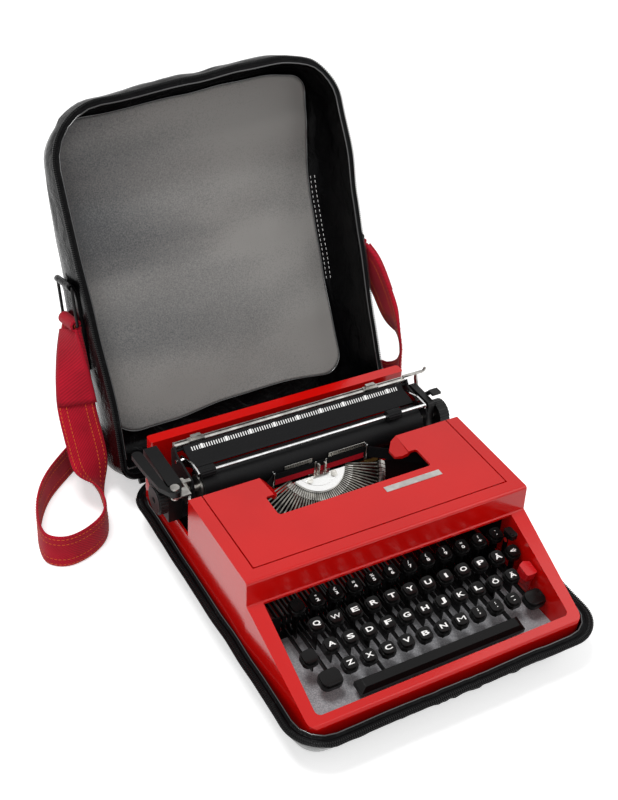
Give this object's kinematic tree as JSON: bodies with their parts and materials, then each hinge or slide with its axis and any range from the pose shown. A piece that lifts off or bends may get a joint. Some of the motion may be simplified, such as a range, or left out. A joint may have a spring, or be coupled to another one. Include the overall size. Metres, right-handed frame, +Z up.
{
  "type": "portable typewriter in zip carrying case",
  "caption": "Flat portable typewriter with sliding carriage and working keys, standing in the tray of its open zip carrying case.",
  "frame": {"origin": "on the table under the middle of the machine", "axes": "+X to the right of the typist, +Y away from the typist, +Z up"},
  "size_m": [0.4444, 0.6114, 0.3596],
  "materials": {
    "case_vinyl": "glossy black vinyl over board",
    "zip_tape": "black zip tape with moulded teeth",
    "lining": "grey lining cloth",
    "black_wire": "black enamelled wire",
    "strap_web": "crimson strap with orange stitching",
    "red_shell": "glossy moulded red shell",
    "foot_rubber": "black rubber",
    "bare_plate": "satin silver plate left bare",
    "dark_sheet": "dark grey speckled enamel",
    "bright_steel": "plated steel",
    "white_plate": "bright turned plate",
    "type_steel": "dark typebar steel with bright slugs",
    "ribbon_cloth": "two-colour inked ribbon, black above red",
    "spool_steel": "dark plated sheet",
    "spring_brass": "dull brass",
    "key_black": "satin black keys with white legends",
    "key_red": "red key",
    "dark_frame": "dark grey enamel",
    "platen_rubber": "black platen rubber",
    "black_plastic": "black moulded plastic",
    "table_paint": "grey crackle enamel with white scale ticks",
    "chrome_rod": "chrome plate"
  },
  "bodies": {
    "machine_and_tray": {"case_tray": "case_vinyl", "tray_zip": "zip_tape", "base_pan": "red_shell", "rubber_feet": "foot_rubber", "top_cover": "red_shell", "keyboard_plate": "dark_sheet", "chassis_frame": "dark_sheet", "key_comb": "dark_sheet", "lever_fulcrum": "bright_steel", "type_guide": "bright_steel", "ribbon": "ribbon_cloth", "ribbon_guides": "bright_steel", "carriage_rail": "bright_steel", "bell": "spring_brass"},
    "lid": {"case_lid": "case_vinyl", "lid_zip": "zip_tape", "lid_lining": "lining", "strap_rings": "black_wire", "strap": "strap_web"},
    "ribbon_cover": {"ribbon_cover": "red_shell", "nameplate": "bare_plate"},
    "type_basket": {"segment": "bright_steel", "segment_plate": "white_plate", "segment_screws": "bright_steel", "typebars": "type_steel", "typebar_rest": "foot_rubber"},
    "typed_bar": {"typed_bar": "type_steel"},
    "vibrator": {"ribbon_vibrator": "bright_steel"},
    "spool_left": {"ribbon_spool_left": "spool_steel"},
    "spool_right": {"ribbon_spool_right": "spool_steel"},
    "drum": {"mainspring_drum": "spring_brass"},
    "escapement": {"escapement_wheel": "spring_brass"},
    "row_1": {"key_row_1": "key_black"},
    "row_2": {"key_row_2": "key_black"},
    "row_3": {"key_row_3": "key_black"},
    "row_4": {"key_row_4": "key_black"},
    "letter_h": {"key_h": "key_black"},
    "space_bar": {"space_bar": "key_black"},
    "shift": {"shift_keys": "key_black"},
    "shift_lock": {"shift_lock": "key_black"},
    "tabulator": {"tab_key": "key_red"},
    "backspace": {"backspace_key": "key_black"},
    "margin_release": {"margin_release_key": "key_black"},
    "ribbon_selector": {"ribbon_selector": "key_black"},
    "carriage": {"carriage_frame": "dark_frame", "end_covers": "black_plastic", "lever_bracket": "bright_steel", "paper_table": "table_paint", "margin_rail": "bright_steel"},
    "platen": {"platen": "platen_rubber", "platen_shaft": "bright_steel", "platen_knobs": "black_plastic"},
    "feed_roller": {"feed_roller": "platen_rubber"},
    "return_lever": {"return_lever": "black_plastic"},
    "paper_bail": {"paper_bail": "chrome_rod"},
    "bail_rollers": {"bail_rollers": "platen_rubber"},
    "stop_left": {"margin_stop_left": "bright_steel"},
    "stop_right": {"margin_stop_right": "bright_steel"},
    "carriage_release": {"carriage_release_lever": "black_plastic"},
    "paper_release": {"paper_release_lever": "bright_steel"}
  },
  "joints": [
    {"name": "lid_hinge", "type": "hinge", "parent": "machine_and_tray", "child": "lid", "pos_m": [0, 0.181, 0.04], "axis": [1, 0, 0], "range_deg": [0, 45]},
    {"name": "ribbon_cover_lift", "type": "slide", "parent": "machine_and_tray", "child": "ribbon_cover", "axis": [0, 0, 1], "range_m": [0, 0.03]},
    {"name": "carriage_travel", "type": "slide", "parent": "machine_and_tray", "child": "carriage", "axis": [1, 0, 0], "range_m": [-0.1, 0.1]},
    {"name": "drum_turn", "type": "hinge", "parent": "machine_and_tray", "child": "drum", "pos_m": [-0.1, 0.13, 0.02], "axis": [0, 0, 1], "range_deg": [-340, 340]},
    {"name": "platen_turn", "type": "hinge", "parent": "carriage", "child": "platen", "pos_m": [0, 0.0925, 0.094], "axis": [1, 0, 0], "continuous": true},
    {"name": "feed_roller_turn", "type": "hinge", "parent": "carriage", "child": "feed_roller", "pos_m": [0, 0.0885, 0.07537], "axis": [1, 0, 0], "continuous": true},
    {"name": "return_lever_swing", "type": "hinge", "parent": "carriage", "child": "return_lever", "pos_m": [-0.15, 0.075, 0.112], "axis": [0, 0, 1], "range_deg": [0, 60], "stiffness_Nm_per_rad": 0.05},
    {"name": "paper_bail_lift", "type": "hinge", "parent": "carriage", "child": "paper_bail", "pos_m": [0, 0.12, 0.106], "axis": [-1, 0, 0], "range_deg": [0, 50]},
    {"name": "bail_roller_turn", "type": "hinge", "parent": "paper_bail", "child": "bail_rollers", "pos_m": [0, 0.0867, 0.1152], "axis": [1, 0, 0], "continuous": true},
    {"name": "left_margin", "type": "slide", "parent": "carriage", "child": "stop_left", "axis": [1, 0, 0], "range_m": [-0.005, 0.08]},
    {"name": "right_margin", "type": "slide", "parent": "carriage", "child": "stop_right", "axis": [1, 0, 0], "range_m": [-0.08, 0.02]},
    {"name": "carriage_release_swing", "type": "hinge", "parent": "carriage", "child": "carriage_release", "pos_m": [0.138, 0.112, 0.1], "axis": [1, 0, 0], "range_deg": [0, 12], "stiffness_Nm_per_rad": 0.1},
    {"name": "paper_release_swing", "type": "hinge", "parent": "carriage", "child": "paper_release", "pos_m": [0.139, 0.1202, 0.097], "axis": [1, 0, 0], "range_deg": [0, 25]},
    {"name": "row_1_press", "type": "hinge", "parent": "machine_and_tray", "child": "row_1", "pos_m": [0, 0.022, 0.034], "axis": [1, 0, 0], "range_deg": [0, 5.5], "stiffness_Nm_per_rad": 0.6},
    {"name": "row_2_press", "type": "hinge", "parent": "machine_and_tray", "child": "row_2", "pos_m": [0, 0.022, 0.034], "axis": [1, 0, 0], "range_deg": [0, 4.5], "stiffness_Nm_per_rad": 0.6},
    {"name": "row_3_press", "type": "hinge", "parent": "machine_and_tray", "child": "row_3", "pos_m": [0, 0.022, 0.034], "axis": [1, 0, 0], "range_deg": [0, 3.8], "stiffness_Nm_per_rad": 0.6},
    {"name": "row_4_press", "type": "hinge", "parent": "machine_and_tray", "child": "row_4", "pos_m": [0, 0.022, 0.034], "axis": [1, 0, 0], "range_deg": [0, 3.3], "stiffness_Nm_per_rad": 0.6},
    {"name": "letter_h_press", "type": "hinge", "parent": "machine_and_tray", "child": "letter_h", "pos_m": [0, 0.022, 0.034], "axis": [1, 0, 0], "range_deg": [0, 3.8], "stiffness_Nm_per_rad": 0.6},
    {"name": "space_press", "type": "hinge", "parent": "machine_and_tray", "child": "space_bar", "pos_m": [0, 0.022, 0.034], "axis": [1, 0, 0], "range_deg": [0, 2.6], "stiffness_Nm_per_rad": 0.6},
    {"name": "shift_press", "type": "hinge", "parent": "machine_and_tray", "child": "shift", "pos_m": [0, 0.022, 0.034], "axis": [1, 0, 0], "range_deg": [0, 2.8], "stiffness_Nm_per_rad": 0.6},
    {"name": "shift_lock_press", "type": "hinge", "parent": "machine_and_tray", "child": "shift_lock", "pos_m": [0, 0.022, 0.034], "axis": [1, 0, 0], "range_deg": [0, 2.8], "stiffness_Nm_per_rad": 0.6},
    {"name": "tabulator_press", "type": "hinge", "parent": "machine_and_tray", "child": "tabulator", "pos_m": [0, 0.022, 0.034], "axis": [1, 0, 0], "range_deg": [0, 3.8], "stiffness_Nm_per_rad": 0.6},
    {"name": "backspace_press", "type": "hinge", "parent": "machine_and_tray", "child": "backspace", "pos_m": [0, 0.022, 0.034], "axis": [1, 0, 0], "range_deg": [0, 4.5], "stiffness_Nm_per_rad": 0.6},
    {"name": "margin_release_press", "type": "hinge", "parent": "machine_and_tray", "child": "margin_release", "pos_m": [0, 0.022, 0.034], "axis": [1, 0, 0], "range_deg": [0, 5.5], "stiffness_Nm_per_rad": 0.6},
    {"name": "ribbon_selector_swing", "type": "hinge", "parent": "machine_and_tray", "child": "ribbon_selector", "pos_m": [0, 0.022, 0.034], "axis": [1, 0, 0], "range_deg": [-2.5, 2.5]},
    {"name": "basket_shift", "type": "slide", "parent": "machine_and_tray", "child": "type_basket", "axis": [0, 0, -1], "range_m": [0, 0.005]},
    {"name": "typebar_swing", "type": "hinge", "parent": "type_basket", "child": "typed_bar", "pos_m": [0, 0.05593, 0.06689], "axis": [-1, 0, 0], "range_deg": [0, 132]},
    {"name": "vibrator_rise", "type": "slide", "parent": "machine_and_tray", "child": "vibrator", "axis": [0, 0, 1], "range_m": [0, 0.005]},
    {"name": "spool_left_turn", "type": "hinge", "parent": "machine_and_tray", "child": "spool_left", "pos_m": [-0.104, 0.014, 0.086], "axis": [0, 0, 1], "continuous": true},
    {"name": "spool_right_turn", "type": "hinge", "parent": "machine_and_tray", "child": "spool_right", "pos_m": [0.104, 0.014, 0.086], "axis": [0, 0, 1], "continuous": true},
    {"name": "escapement_turn", "type": "hinge", "parent": "machine_and_tray", "child": "escapement", "pos_m": [0, 0.116, 0.054], "axis": [0, 1, 0], "continuous": true}
  ],
  "couplings": [
    {"joint": "drum_turn", "follows": "carriage_travel", "rad_per_m": 58.8},
    {"joint": "escapement_turn", "follows": "carriage_travel", "rad_per_m": 123.69},
    {"joint": "feed_roller_turn", "follows": "platen_turn", "ratio": -5.3333},
    {"joint": "basket_shift", "follows": "shift_press", "m_per_rad": 0.10231},
    {"joint": "typebar_swing", "follows": "letter_h_press", "ratio": 34.737},
    {"joint": "vibrator_rise", "follows": "letter_h_press", "m_per_rad": 0.07539},
    {"joint": "spool_right_turn", "follows": "spool_left_turn", "ratio": 1}
  ]
}
